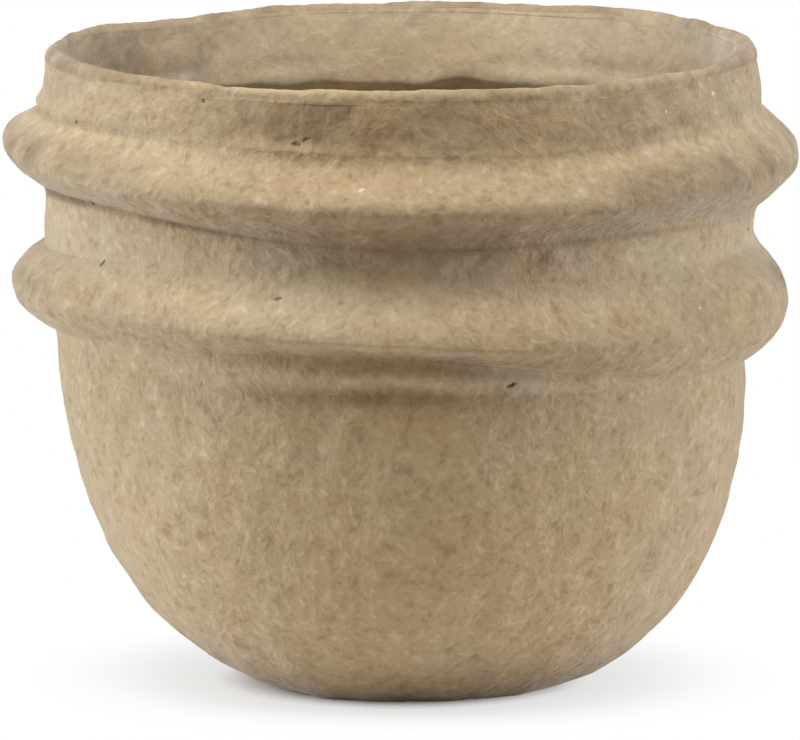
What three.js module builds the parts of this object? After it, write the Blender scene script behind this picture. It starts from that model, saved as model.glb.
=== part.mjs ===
// A papier mache planter with two rolled ribs. It is laid up as three paper pulp tiers, a bowl and two
// ribbed collars, each lapped over the tier below it. A folded paper binding closes the edge of the mouth,
// and a thin waterproof liner stands loose inside and lifts out through the mouth.
// Millimetres, +Z up. The origin is on the floor, under the middle of the ribs.
import * as THREE from "three";

// Heights, stacked from the floor to the mouth
const BOWL_HEIGHT = 154.4; // floor to the crease under the lower roll
const LOWER_ROLL_HEIGHT = 42;
const WAIST_HEIGHT = 17.6;
const UPPER_ROLL_HEIGHT = 40.5;
const NECK_HEIGHT = 26.2;
const LOWER_NOSE_RISE = 17.8; // crease to the widest line of the lower roll
const UPPER_NOSE_RISE = 19.5;

// Outside radii
const FOOT_RADIUS = 64;
const BOWL_RADIUS = 150.8;
const WAIST_RADIUS = 155.6;
const NECK_RADIUS = 158.1;
const MOUTH_RADIUS = 153.8;
const LOWER_ROLL_DEPTH = 16.8; // how far a roll stands out of the wall
const UPPER_ROLL_DEPTH = 17.9;

// Form of a roll's flanks: 0.6 is full with a sharp foot, 1 a plain arch, 2 runs out softly
const LOWER_BELLY_FORM = 0.65;
const LOWER_SHOULDER_FORM = 0.95;
const UPPER_BELLY_FORM = 1.25;
const UPPER_SHOULDER_FORM = 1;
const HOLLOW_FORM = 1;

// Bowl curve: how far its two handles reach from the foot and from the top of the bowl
const FOOT_HANDLE_OUT = 14;
const FOOT_HANDLE_UP = 5.6;
const BOWL_HANDLE_IN = 3;
const BOWL_HANDLE_DOWN = 121;

// Paper walls and the laps between the tiers
const WALL = 8;
const FOOT_THICKNESS = 9;
const HOLLOW_INSET = 6; // how much shorter the hollow behind a roll is than the roll, at each end
const SKIRT = 8.4; // the edge of the lower collar below its crease
const UPPER_SKIRT = 2;
const LAP_DEPTH = 4; // depth of the rebate that takes the collar above
const LAP_PROUD = 1.2; // how far a collar's lower edge stands out of the tier below
const PASTE_GAP = 0.3;

// Folded binding of the mouth
const BINDING_DEPTH = 6;
const BINDING_THICKNESS = 2;
const BINDING_PROUD = 0.6;

// Loose liner
const LINER_HEIGHT = 192;
const LINER_WALL = 2;
const LINER_CLEARANCE = 3;
const LINER_LIP = 3.5;
const LINER_LIP_HEIGHT = 5;

// Hand-formed irregularity
const LEAN = 6; // the foot stands this far to +X of the collars
const SAG_START = 75; // below this level the bowl is true
const LAP_SAG = 3; // how far the lower collar's edge sinks and rises
const LOWER_SAG = 7.3; // and the creases under the rolls
const UPPER_SAG = 3.6;
const UPPER_RIPPLE = 3.6; // a shorter wave along the upper crease
const LOWER_NOSE_SAG = 4.5; // how far the widest lines of the rolls sink and rise
const UPPER_NOSE_SAG = 3.5;
const UPPER_NOSE_RIPPLE = 1.9;
const RIM_RISE = 1.6; // how far the mouth rises and sinks
const RIM_RIPPLE = 0.9;

// Where round the pot these waves stand highest, in degrees from +X towards +Y
const LAP_SAG_AT = 180;
const ROLL_SAG_AT = -157;
const UPPER_RIPPLE_AT = -31;
const LOWER_NOSE_SAG_AT = 167;
const UPPER_NOSE_SAG_AT = 147;
const UPPER_NOSE_RIPPLE_AT = 0;
const RIM_RISE_AT = 48;
const RIM_RIPPLE_AT = 35;

// Facets
const SEGMENTS = 52;
const BOWL_STEPS = 13;
const FLANK_STEPS = 6;
const LINER_STEPS = 12;
const ROUND_STEPS = 5;

// Levels worked out from the heights
const lowerCrease = BOWL_HEIGHT;
const lowerNose = lowerCrease + LOWER_NOSE_RISE;
const waistFoot = lowerCrease + LOWER_ROLL_HEIGHT;
const upperCrease = waistFoot + WAIST_HEIGHT;
const upperNose = upperCrease + UPPER_NOSE_RISE;
const neckFoot = upperCrease + UPPER_ROLL_HEIGHT;
const mouth = neckFoot + NECK_HEIGHT;
const bowlTop = lowerCrease - SKIRT;
const waistTop = upperCrease - UPPER_SKIRT;
const bindingFoot = mouth - BINDING_DEPTH;

const point = (radius, height) => new THREE.Vector2(radius, height);

// Straight-line value between listed levels, held level beyond the ends.
function between(height, levels, values) {
  if (height <= levels[0]) return values[0];
  for (let i = 1; i < levels.length; i++) {
    if (height > levels[i]) continue;
    const share = (height - levels[i - 1]) / (levels[i] - levels[i - 1]);
    return values[i - 1] + share * (values[i] - values[i - 1]);
  }
  return values.at(-1);
}

// Outside of the collars' wall, with the rolls left off.
function wallRadius(height) {
  const levels = [bowlTop, waistFoot, upperCrease, neckFoot, mouth];
  const radii = [BOWL_RADIUS + LAP_PROUD, WAIST_RADIUS, WAIST_RADIUS, NECK_RADIUS, MOUTH_RADIUS];
  return between(height, levels, radii);
}

// The two rolls. Each swells from its crease to its nose and back to its top as an arch of cosine form.
const lowerRoll = {
  nose: lowerNose,
  depth: LOWER_ROLL_DEPTH,
  belly: { reach: lowerNose - lowerCrease, form: LOWER_BELLY_FORM },
  shoulder: { reach: waistFoot - lowerNose, form: LOWER_SHOULDER_FORM },
};
const upperRoll = {
  nose: upperNose,
  depth: UPPER_ROLL_DEPTH,
  belly: { reach: upperNose - upperCrease, form: UPPER_BELLY_FORM },
  shoulder: { reach: neckFoot - upperNose, form: UPPER_SHOULDER_FORM },
};

// A roll's arch from its foot, at a share of -1, over its nose at 0 to its top at 1, as points on a wall line
// moved inwards by a depth. An inset shortens the arch at each end.
function archPoints(roll, depth, inset, formOf) {
  const points = [];
  for (let i = -FLANK_STEPS; i <= FLANK_STEPS; i++) {
    const flank = i < 0 ? roll.belly : roll.shoulder;
    const share = i / FLANK_STEPS;
    const level = roll.nose + share * (flank.reach - inset);
    const rise = Math.max(0, Math.cos((share * Math.PI) / 2)) ** formOf(flank);
    points.push(point(wallRadius(level) - depth + roll.depth * rise, level));
  }
  return points;
}

// Points up a roll's outside.
function rollOutside(roll) {
  return archPoints(roll, 0, 0, (flank) => flank.form);
}

// Points down the hollow behind a roll. It is as deep as the roll, so that the wall stays about even.
function rollHollow(roll) {
  return archPoints(roll, WALL, HOLLOW_INSET, () => HOLLOW_FORM).reverse();
}

// The bowl's outside curve, from the edge of the foot to the top of the bowl.
const bowlCurve = new THREE.CubicBezierCurve(
  point(FOOT_RADIUS, 0),
  point(FOOT_RADIUS + FOOT_HANDLE_OUT, FOOT_HANDLE_UP),
  point(BOWL_RADIUS - BOWL_HANDLE_IN, bowlTop - BOWL_HANDLE_DOWN),
  point(BOWL_RADIUS, bowlTop),
);

// The bowl curve moved inwards by a depth, from its top down to a floor level, which its last stretch meets.
function insideBowl(depth, floor, steps) {
  const points = [];
  for (let i = steps; i >= 0; i--) {
    const tangent = bowlCurve.getTangent(i / steps);
    const inner = bowlCurve.getPoint(i / steps).add(point(-tangent.y, tangent.x).multiplyScalar(depth));
    if (inner.y <= floor) break;
    points.push(inner);
  }
  const [before, last] = points.slice(-2);
  const runOn = (before.y - floor) / (before.y - last.y);
  return [...points, before.clone().lerp(last, runOn)];
}

// Lean of the pot towards +X: the foot stands off centre and the collars don't.
function leanAt(height) {
  return between(height, [0, lowerCrease], [LEAN, 0]);
}

// Height of a wave that runs a number of times round the pot and stands highest at an angle in degrees.
function wave(angle, size, times, highestAt) {
  return size * Math.cos(times * (angle - THREE.MathUtils.degToRad(highestAt)));
}

// Lift of a point of the paper: the laps, creases, noses and rim wave, and what lies between follows.
function liftAt(height, angle) {
  const lap = wave(angle, LAP_SAG, 1, LAP_SAG_AT);
  const lower = wave(angle, LOWER_SAG, 1, ROLL_SAG_AT);
  const lowerWide = wave(angle, LOWER_NOSE_SAG, 1, LOWER_NOSE_SAG_AT);
  const upper = wave(angle, UPPER_SAG, 1, ROLL_SAG_AT) + wave(angle, UPPER_RIPPLE, 3, UPPER_RIPPLE_AT);
  const upperSag = wave(angle, UPPER_NOSE_SAG, 1, UPPER_NOSE_SAG_AT);
  const upperWide = upperSag + wave(angle, UPPER_NOSE_RIPPLE, 2, UPPER_NOSE_RIPPLE_AT);
  const rim = wave(angle, RIM_RISE, 1, RIM_RISE_AT) + wave(angle, RIM_RIPPLE, 2, RIM_RIPPLE_AT);
  const lowLevels = [SAG_START, bowlTop, lowerCrease, lowerNose, waistFoot];
  const highLevels = [upperCrease, upperNose, neckFoot, bindingFoot];
  const lifts = [0, lap, lower, lowerWide, 0, upper, upperWide, 0, rim];
  return between(height, [...lowLevels, ...highLevels], lifts);
}

// A closed ring or vessel turned from a profile about +Z, leaning with the pot. The profile runs up the
// outside and down the inside.
function turned(profile) {
  const geometry = new THREE.LatheGeometry(profile, SEGMENTS).rotateX(Math.PI / 2);
  geometry.deleteAttribute("normal");
  geometry.deleteAttribute("uv");
  return moved(geometry, (x, y, z) => [x + leanAt(z), y, z]);
}

// A turned piece of paper as the hands left it. The lift comes first, so that the lean stays a level shift.
function handLaid(profile) {
  return moved(turned(profile), (x, y, z) => [x, y, z + liftAt(z, Math.atan2(y, x - leanAt(z)))]);
}

function moved(geometry, rule) {
  const places = geometry.getAttribute("position");
  for (let i = 0; i < places.count; i++) {
    places.setXYZ(i, ...rule(places.getX(i), places.getY(i), places.getZ(i)));
  }
  return geometry;
}

// Bowl: flat foot, round wall, and a spigot at the top that the lower collar laps over.
function bowlProfile() {
  const spigot = BOWL_RADIUS - LAP_DEPTH;
  const spigotTop = lowerCrease + HOLLOW_INSET - PASTE_GAP;
  return [
    point(0, 0),
    ...bowlCurve.getPoints(BOWL_STEPS),
    point(spigot, bowlTop),
    point(spigot, spigotTop),
    point(BOWL_RADIUS - WALL, spigotTop),
    ...insideBowl(WALL, FOOT_THICKNESS, BOWL_STEPS),
    point(0, FOOT_THICKNESS),
  ];
}

// Lower collar: a skirt over the bowl, the lower roll with its hollow, the waist and a spigot on top.
function lowerCollarProfile() {
  const skirtInside = BOWL_RADIUS - LAP_DEPTH + PASTE_GAP;
  const skirtFoot = bowlTop + PASTE_GAP;
  const shoulder = lowerCrease + HOLLOW_INSET;
  const spigot = WAIST_RADIUS - LAP_DEPTH;
  const spigotTop = upperCrease + HOLLOW_INSET - PASTE_GAP;
  const ring = [
    point(skirtInside, skirtFoot),
    point(wallRadius(skirtFoot), skirtFoot),
    ...rollOutside(lowerRoll),
    point(WAIST_RADIUS, waistTop),
    point(spigot, waistTop),
    point(spigot, spigotTop),
    point(WAIST_RADIUS - WALL, spigotTop),
    ...rollHollow(lowerRoll),
    point(skirtInside, shoulder),
  ];
  return [...ring, ring[0]];
}

// Upper collar: a short skirt over the waist, the upper roll with its hollow, the neck and a tongue on top.
function upperCollarProfile() {
  const skirtInside = WAIST_RADIUS - LAP_DEPTH + PASTE_GAP;
  const skirtFoot = waistTop + PASTE_GAP;
  const shoulder = upperCrease + HOLLOW_INSET;
  const tongueTop = mouth - BINDING_THICKNESS - PASTE_GAP;
  const tongueFoot = bindingFoot - PASTE_GAP;
  const cover = BINDING_THICKNESS - BINDING_PROUD + PASTE_GAP;
  const ring = [
    point(skirtInside, skirtFoot),
    point(WAIST_RADIUS + LAP_PROUD, skirtFoot),
    ...rollOutside(upperRoll).slice(1),
    point(wallRadius(tongueFoot), tongueFoot),
    point(wallRadius(tongueFoot) - cover, tongueFoot),
    point(wallRadius(tongueTop) - cover, tongueTop),
    point(wallRadius(tongueTop) - WALL + cover, tongueTop),
    point(wallRadius(tongueFoot) - WALL + cover, tongueFoot),
    point(wallRadius(tongueFoot) - WALL, tongueFoot),
    ...rollHollow(upperRoll),
    point(skirtInside, shoulder),
  ];
  return [...ring, ring[0]];
}

// Rim binding: a strip folded over the tongue, rounded on top, with a leg down each side of the wall.
function bindingProfile() {
  const shoulder = mouth - BINDING_THICKNESS;
  const middle = wallRadius(shoulder) - WALL / 2;
  const half = WALL / 2 + BINDING_PROUD;
  const slant = wallRadius(bindingFoot) - wallRadius(shoulder);
  const legInside = half - BINDING_THICKNESS;
  const crown = [];
  for (let i = 0; i <= ROUND_STEPS; i++) {
    const angle = (Math.PI * i) / ROUND_STEPS;
    crown.push(point(middle + half * Math.cos(angle), shoulder + BINDING_THICKNESS * Math.sin(angle)));
  }
  const ring = [
    point(middle + slant + legInside, bindingFoot),
    point(middle + slant + half, bindingFoot),
    ...crown,
    point(middle + slant - half, bindingFoot),
    point(middle + slant - legInside, bindingFoot),
    point(middle - legInside, shoulder),
    point(middle + legInside, shoulder),
  ];
  return [...ring, ring[0]];
}

// Liner: follows the inside of the bowl at a clearance, narrow enough to pass the mouth, with a turned lip.
function linerProfile() {
  const floor = FOOT_THICKNESS + PASTE_GAP;
  const top = floor + LINER_HEIGHT;
  const depth = WALL + LINER_CLEARANCE;
  const passage = Math.min(WAIST_RADIUS, MOUTH_RADIUS - BINDING_PROUD) - depth;
  const wall = Math.min(BOWL_RADIUS - depth, passage - LINER_LIP);
  const lip = wall + LINER_LIP;
  const within = (radius) => (p) => point(Math.min(p.x, radius), p.y);
  return [
    point(0, floor),
    ...insideBowl(depth, floor, LINER_STEPS).map(within(wall)).reverse(),
    point(wall, top - LINER_LIP_HEIGHT),
    point(lip, top - LINER_LIP_HEIGHT),
    point(lip, top - LINER_WALL / 2),
    point(lip - LINER_WALL / 2, top),
    point(wall - LINER_WALL, top),
    ...insideBowl(depth + LINER_WALL, floor + LINER_WALL, LINER_STEPS).map(within(wall - LINER_WALL)),
    point(0, floor + LINER_WALL),
  ];
}

function piece(name, geometry, color, roughness) {
  const mesh = new THREE.Mesh(geometry, new THREE.MeshStandardMaterial({ color, roughness, metalness: 0 }));
  mesh.name = name;
  return mesh;
}

const PULP_COLOUR = 0xb19b78;
const BINDING_COLOUR = 0xb9a582;
const LINER_COLOUR = 0xc2bbb0;
const PAPER_ROUGHNESS = 0.95;
const LINER_ROUGHNESS = 0.55;

const planter = new THREE.Group();
planter.name = "planter";
planter.add(
  piece("bowl", handLaid(bowlProfile()), PULP_COLOUR, PAPER_ROUGHNESS),
  piece("lower_collar", handLaid(lowerCollarProfile()), PULP_COLOUR, PAPER_ROUGHNESS),
  piece("upper_collar", handLaid(upperCollarProfile()), PULP_COLOUR, PAPER_ROUGHNESS),
  piece("rim_binding", handLaid(bindingProfile()), BINDING_COLOUR, PAPER_ROUGHNESS),
  piece("liner", turned(linerProfile()), LINER_COLOUR, LINER_ROUGHNESS),
);

export default planter;
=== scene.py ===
"""Looks of a papier mache planter: three tiers of paper pulp with two rolled ribs, a rim and a liner.

Lengths are in millimetres until a mesh is made. Angles run from +X towards +Y, so the front is at -90
degrees. A piece is a grid: its rows follow a profile of (radius, level) and its columns run round the pot.
"""
import functools
import math

import bpy
import numpy as np
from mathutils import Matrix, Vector


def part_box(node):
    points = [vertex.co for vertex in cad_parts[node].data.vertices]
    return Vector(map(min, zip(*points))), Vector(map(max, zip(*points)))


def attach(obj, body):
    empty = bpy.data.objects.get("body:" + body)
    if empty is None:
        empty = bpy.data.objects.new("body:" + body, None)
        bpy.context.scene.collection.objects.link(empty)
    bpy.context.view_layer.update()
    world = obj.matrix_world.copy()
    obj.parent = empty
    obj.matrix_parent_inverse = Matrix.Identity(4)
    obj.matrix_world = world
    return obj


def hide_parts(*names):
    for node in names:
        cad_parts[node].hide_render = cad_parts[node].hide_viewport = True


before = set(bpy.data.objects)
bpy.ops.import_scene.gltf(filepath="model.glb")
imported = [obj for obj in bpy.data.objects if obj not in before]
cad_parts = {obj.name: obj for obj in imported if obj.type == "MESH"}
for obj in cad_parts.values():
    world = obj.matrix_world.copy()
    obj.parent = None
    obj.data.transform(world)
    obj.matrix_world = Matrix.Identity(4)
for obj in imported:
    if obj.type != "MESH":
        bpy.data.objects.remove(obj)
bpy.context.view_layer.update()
MM = 0.001


def node_box(name):
    """Lowest and highest corner of a CAD node, in millimetres."""
    low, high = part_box(name)
    return np.array(low) / MM, np.array(high) / MM


# Levels of the tiers, from the floor up
SAG_START = 75.0
BOWL_TOP = 146.0
LOWER_CREASE = 153.3
LOWER_NOSE = 172.2
WAIST_FOOT = 196.4
WAIST_TOP = 213.2
UPPER_CREASE = 214.0
UPPER_NOSE = 233.5
NECK_FOOT = 254.5
HOLLOW_TOP = NECK_FOOT - 9.5
BINDING_FOOT = 274.7
MOUTH = 280.7

# Radii of the outside, without the rolls, and how far the rolls stand out
FOOT_RADIUS = 64.0
BOWL_RADIUS = 150.8
SKIRT_RADIUS = BOWL_RADIUS + 1.9
WAIST_RADIUS = 155.6
NECK_RADIUS = 158.1
MOUTH_RADIUS = 153.8
LOWER_DEPTH = 16.8
UPPER_DEPTH = 17.9

# Shift of the pot to +X at the floor and at the lower crease
LEAN = 6.0
CREASE_LEAN = 0.9

# Paper walls and the laps between the tiers
WALL = 8.0
FOOT_THICKNESS = 9.0
HOLLOW_INSET = 6.0
LAP_DEPTH = 4.0
PASTE_GAP = 0.3
FEATHER_GAP = 0.02
FEATHER_EDGE = 0.05
FEATHER_REACH = 2.6
LEDGE_DEPTH = 3.0

# Rim binding: thickness, stand over the neck, level of its inner rounding's foot, reach of the drawn-in neck
BINDING_THICKNESS = 2.0
BINDING_PROUD = 0.6
INNER_SHOULDER = BINDING_FOOT + 1.2
DRAWN_REACH = 15.0

# Powers by which the painted light of the paler inside sets in over the crown, and the crown's painted shade
# fades down each leg
INNER_POWER = 1.5
OUTER_FADE = 3
INNER_FADE = 6

# The neck's inside under the binding's inner leg: its last covered row and its first bare ones over the
# leg's foot, and how far the covered rows stand back
COVERED_END = 0.8
BARE_START = 0.1
BARE_NEXT = -0.6
COVERED_RECESS = 0.3
COVERED_ROWS = 2

# Liner: wall, clearance to the bowl, and its lip's overhang, half height, and two edges below its top
LINER_WALL = 2.0
LINER_CLEARANCE = 3.0
LIP_OVERHANG = 3.5
LIP_HALF_HEIGHT = 2.5
LIP_UNDERSIDE = 6.0
LIP_INNER_EDGE = 5.0

# Columns and rows of the grids, radius of the ring round a pole, samples of the bowl's curve
COLUMNS = 640
THETA = np.linspace(-math.pi, math.pi, COLUMNS, endpoint=False)
POLE_RING = 2.0
CURVE_SAMPLES = 800
FLAT_ROWS = 8
BOWL_ROWS = 114
BOWL_INSIDE_ROWS = 20
LAP_ROWS = 3
EDGE_ROWS = 4
SKIRT_ROWS = 11
LOWER_ROLL_ROWS = 66
LOWER_HOLLOW_ROWS = 26
WAIST_ROWS = 18
UPPER_ROLL_ROWS = 64
UPPER_HOLLOW_ROWS = 34
NECK_ROWS = 22
NECK_INSIDE_ROWS = 18
LEG_ROWS = 8
CROWN_ROWS = 15
LINER_SIDE_ROWS = 40
LINER_FLAT_ROWS = 10
LINER_WALL_ROWS = 10
LINER_INSIDE_ROWS = 12
LIP_ROWS = 18

# Limits that keep the looks inside the solids' box, and how softly the surface bends below them
WIDEST = node_box("upper_collar")[1][0]
RIM_TOP = node_box("rim_binding")[1][2]
LIMIT_REACH = 4.0
LIMIT_SOFTNESS = 0.35
NO_RADIUS = 1e-6


# Waves of the hand-laid paper

def wave(*parts):
    """Sum of cosines round the pot, each with its size, its count of turns and the angle where it peaks."""
    return sum(size * np.cos(times * (THETA - math.radians(peak))) for size, times, peak in parts)


def near_angle(centre, half_width):
    """1 at an angle in degrees, falling to 0 at a half width on either side as a raised cosine."""
    off = (np.degrees(THETA) - centre + 180) % 360 - 180
    return 0.5 + 0.5 * np.cos(np.pi * np.clip(off / half_width, -1, 1))


def swell(*parts):
    """Sum of raised cosines round the pot, each with its size, its middle angle and its half width."""
    return sum(size * near_angle(centre, half_width) for size, centre, half_width in parts)


def ramp(value, start, end):
    """0 at the start and before it, 1 at the end and past it, and straight between. It may run downwards."""
    return np.clip((value - start) / (end - start), 0, 1)


# Lift of the paper round the pot, at each level
LIFTS = {
    SAG_START: np.zeros(COLUMNS),
    BOWL_TOP: wave((2.1, 1, 176), (1.1, 2, -17)) + swell((3.0, -90, 50)),
    LOWER_CREASE: (
        wave((7.3, 1, -157), (2.9, 2, 82), (1.0, 3, 23))
        + swell((1.8, -170, 50), (2.5, 0, 50), (3.3, -90, 50))
    ),
    LOWER_NOSE: wave((4.4, 1, 180), (1.0, 1, 90), (0.5, 2, 0)) + swell((2.0, -118, 50)),
    WAIST_FOOT: swell((3.5, -110, 70), (-2.5, 180, 50)),
    UPPER_CREASE: wave((3.6, 1, -157), (0.9, 2, 10), (3.6, 3, -31)) + swell((-5.0, 0, 75)),
    UPPER_NOSE: wave((2.9, 1, 180), (1.9, 1, 90), (1.9, 2, 0)),
    NECK_FOOT: swell((1.2, 0, 70), (-2.2, 180, 60), (-3.0, -75, 60)),
    BINDING_FOOT: (
        wave((1.6, 1, 48), (0.9, 2, 35))
        + swell((1.3, 157, 20), (-1.5, 134, 24), (0.9, 107, 16), (-1.0, 62, 22), (-1.0, 18, 18))
    ),
}
LIFT_LEVELS = list(LIFTS)

# Torn edges of the binding and of the hollow behind the upper roll
TORN_EDGE = wave((0.35, 5, -80), (0.25, 11, 20), (0.2, 17, 140))
TORN_HOLLOW = (
    wave((0.8, 3, 80), (0.5, 9, 84), (0.6, 17, 79), (0.6, 31, 80))
    + swell((1.0, 110, 12), (-1.0, 90, 10), (1.2, 66, 24), (-3.0, 38, 28))
)

# Forms that change round the pot: thin edges, the ledge, the lip, and the power of each flank of the rolls
LEDGE = near_angle(-95, 52)
CREASE_EDGE = FEATHER_EDGE + swell((0.25, -155, 55))
BINDING_EDGE = FEATHER_EDGE + swell((0.25, -102, 8))
CROWN = 4.0 + swell((-1.2, -107, 40), (0.8, 180, 50))
RIM_INSET = swell((1.7, 180, 50))
LIP_THIN = 3.6 - swell((3.6, -107, 60))
LOWER_RISE = LOWER_DEPTH - swell((2.6, -92, 80))
LOWER_BELLY_FORM = 0.76 + wave((-0.04, 1, 0)) + swell((1.2, -92, 80))
LOWER_SHOULDER_FORM = 1.2 + wave((0.15, 1, 0), (-0.25, 2, 0))
UPPER_BELLY_FORM = 1.35 + wave((0.4, 1, 0)) + swell((0.5, -85, 75))
UPPER_SHOULDER_FORM = 2.1 + swell((-1.4, 180, 55), (-0.5, 0, 65), (0.5, -75, 50))
NECK_FLARE = (NECK_FOOT + 4, 2.8, swell((1.8, 180, 50)))

# Painted shade round the pot: how far the paper's colour is darkened to stand for shade in the creases, on
# the crests, under the rolls and inside
# Painted shade at the front, under both rolls and on the waist below the upper roll
FRONT_PAINTED_SHADE = near_angle(-86, 62)
# Where the crests get painted shade: away from the front
SIDES = 1 - near_angle(-98, 75)
# Painted shadow under the ledge at the front
SKIRT_SHADE = swell((0.5, -98, 34))
# Painted shade in the crease under the upper roll, on the left and at the front right
CREASE_SHADE = swell((0.75, -152, 62), (0.3, -40, 50))
# Painted shade on the crests at the sides, toning down their lit tops
CREST_SHADE = 0.45 * SIDES + swell((0.2, -46, 50), (0.16, -165, 50))
# Painted shade on the neck, at the front and at both sides
NECK_SHADE = swell((0.42, -84, 80), (0.2, -105, 22), (0.27, -165, 50), (0.25, -35, 60))
# Painted shadow under the torn edge of the binding at the front
BINDING_SHADE = swell((0.6, -102, 11), (0.3, -88, 8))
# Painted shade on the crown, toning down its lit top except at the front left
CROWN_SHADE = 0.45 + swell((-0.45, -107, 34), (0.1, 180, 50))
# Painted shade inside, on the left and on the right
INSIDE_SHADE = swell((0.53, 142, 58), (0.4, 35, 42))
# Painted shade in the hollow behind the upper roll, and in a band along its top edge
HOLLOW_SHADE = 0.45 + swell((0.15, 88, 14))
HOLLOW_EDGE_SHADE = 0.48
# Strengths of the painted shade under the rolls at the front
LOWER_BELLY_PAINTED_SHADE = 0.42 * FRONT_PAINTED_SHADE
UPPER_BELLY_PAINTED_SHADE = 0.36 * FRONT_PAINTED_SHADE
WAIST_PAINTED_SHADE = 0.36 * FRONT_PAINTED_SHADE
# Painted light: the ledge at the front is made paler, as if lit
LEDGE_PAINTED_LIGHT = 0.55 * LEDGE

# Bands of painted shade and painted light along a level: the level, the half width and the strength
SKIRT_BAND = (BOWL_TOP - 2, 5.0, SKIRT_SHADE)
LOWER_BANDS = (
    (WAIST_TOP, 1.6, CREASE_SHADE),
    SKIRT_BAND,
    (LOWER_NOSE + 7, 11, 0.4 * SIDES),
)
# Painted light: paler bands on the waist, on the lower crest at the front left and in the lower crease at
# the front right
LOWER_PAINTED_LIGHT_BANDS = (
    (WAIST_FOOT + 2, 12, 0.4),
    (LOWER_NOSE + 6, 12, swell((0.45, -101, 30))),
    (LOWER_CREASE, 6, swell((0.45, -68, 22))),
)
UPPER_BANDS = (
    (WAIST_TOP, 2.0, CREASE_SHADE),
    (UPPER_NOSE + 6, 11, CREST_SHADE),
)

# Half widths of the bands of painted shade at the torn edges
HOLLOW_BAND = 6.0
BINDING_BAND = 1.5

# Levels between which painted shade sets in, under the rolls and on the neck
LOWER_BELLY = (LOWER_NOSE - 3, LOWER_NOSE - 11)
UPPER_BELLY = (UPPER_NOSE - 2, UPPER_NOSE - 11)
UNDER_ROLL = (WAIST_TOP - 10, WAIST_TOP)
NECK_START = (NECK_FOOT - 3, NECK_FOOT + 4)


def lift(level):
    """Lift of the paper: each wave is full at its own level and fades straight to none at the next ones."""
    total = np.zeros_like(level)
    for knot, heights in LIFTS.items():
        total += np.interp(level, LIFT_LEVELS, [float(k == knot) for k in LIFT_LEVELS]) * heights
    return total


def lean(level):
    """Shift to +X, full at the floor, slight at the lower crease and gone at the upper one."""
    return np.interp(level, [0, LOWER_CREASE, UPPER_CREASE], [LEAN, CREASE_LEAN, 0])


def drawn_in(level):
    """How far the top of the neck is drawn in: by the square of the share of its last stretch."""
    return RIM_INSET * ramp(level, MOUTH - DRAWN_REACH, MOUTH) ** 2


def placed(radius, level, lifted):
    """Points of a grid: the radius turned round the axis, the level lifted by the waves, all leaning to +X.

    A grid that isn't lifted isn't drawn in at the rim either.
    """
    height = level + lift(level) if lifted else level
    radius = radius - drawn_in(level) if lifted else radius
    across = radius * np.cos(THETA) + lean(level)
    return np.stack([across, radius * np.sin(THETA), height], axis=-1)


# Profiles

def wall_radius(level):
    """Radius of the collars' outside with the rolls left off, straight between its levels."""
    levels = [LOWER_CREASE, WAIST_FOOT, UPPER_CREASE, NECK_FOOT, MOUTH]
    radii = [SKIRT_RADIUS, WAIST_RADIUS, WAIST_RADIUS, NECK_RADIUS, MOUTH_RADIUS]
    return np.interp(level, levels, radii)


def inner_neck(level):
    """Radius of the neck's inside: straight from the hollow's top to the thinner wall at the mouth."""
    share = (level - HOLLOW_TOP) / (MOUTH - HOLLOW_TOP)
    foot = wall_radius(HOLLOW_TOP) - WALL
    return foot + share * (MOUTH_RADIUS - WALL + LIP_THIN - foot)


def run(radius, level):
    """A stretch of profile as two grids of radius and level, one column for each angle."""
    radius, level = np.broadcast_arrays(np.asarray(radius, float), np.asarray(level, float))
    shape = (radius.shape[0], COLUMNS)
    return np.broadcast_to(radius, shape).copy(), np.broadcast_to(level, shape).copy()


def corner(radius, level):
    """One row of a profile."""
    return run(np.full((1, COLUMNS), radius), np.full((1, COLUMNS), level))


def joined(*stretches):
    """Stretches of profile end to end."""
    return tuple(np.concatenate(parts) for parts in zip(*stretches))


def steps(start, end, rows):
    """Evenly spaced values down a column, both ends included. Either end may change round the pot."""
    share = np.linspace(0, 1, rows)[:, None]
    return start + share * (np.asarray(end) - start)


def roll(nose, depth, belly, shoulder, rows):
    """A roll from its foot over its nose to its top, as its wall's radius, its rise and its level.

    The share runs from -1 at the foot to 1 at the top, halfway between even steps and the sine of even
    angles. The level is the nose plus the share of that flank's reach. The rise is the depth times
    cos(share x 90 degrees) to the power of the flank's form. A flank is (reach, form at each angle).
    """
    even = np.linspace(-1, 1, rows)[:, None]
    share = (even + np.sin(even * math.pi / 2)) / 2
    below = share < 0
    level = nose + share * np.where(below, belly[0], shoulder[0])
    rise = np.cos(share * math.pi / 2).clip(0) ** np.where(below, belly[1], shoulder[1])
    return wall_radius(level), depth * rise, level


def lower_roll():
    """The lower roll: full below with a sharp foot, an arch above, softer and less deep at the front."""
    belly = (LOWER_NOSE - LOWER_CREASE, LOWER_BELLY_FORM)
    shoulder = (WAIST_FOOT - LOWER_NOSE, LOWER_SHOULDER_FORM)
    wall, rise, level = roll(LOWER_NOSE, LOWER_RISE, belly, shoulder, LOWER_ROLL_ROWS)
    return run(wall + rise, level)


def upper_roll():
    """The upper roll: a shelf on the left with a sharp foot, soft flares above and below elsewhere.

    Near its foot the roll doesn't fall under its edge's own thickness: it is the root of the two squares.
    """
    belly = (UPPER_NOSE - UPPER_CREASE, UPPER_BELLY_FORM)
    shoulder = (NECK_FOOT - UPPER_NOSE, UPPER_SHOULDER_FORM)
    wall, rise, level = roll(UPPER_NOSE, UPPER_DEPTH, belly, shoulder, UPPER_ROLL_ROWS)
    edge = CREASE_EDGE * ramp(level, NECK_FOOT, UPPER_CREASE)
    return run(wall + np.hypot(rise, edge), level)


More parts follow.
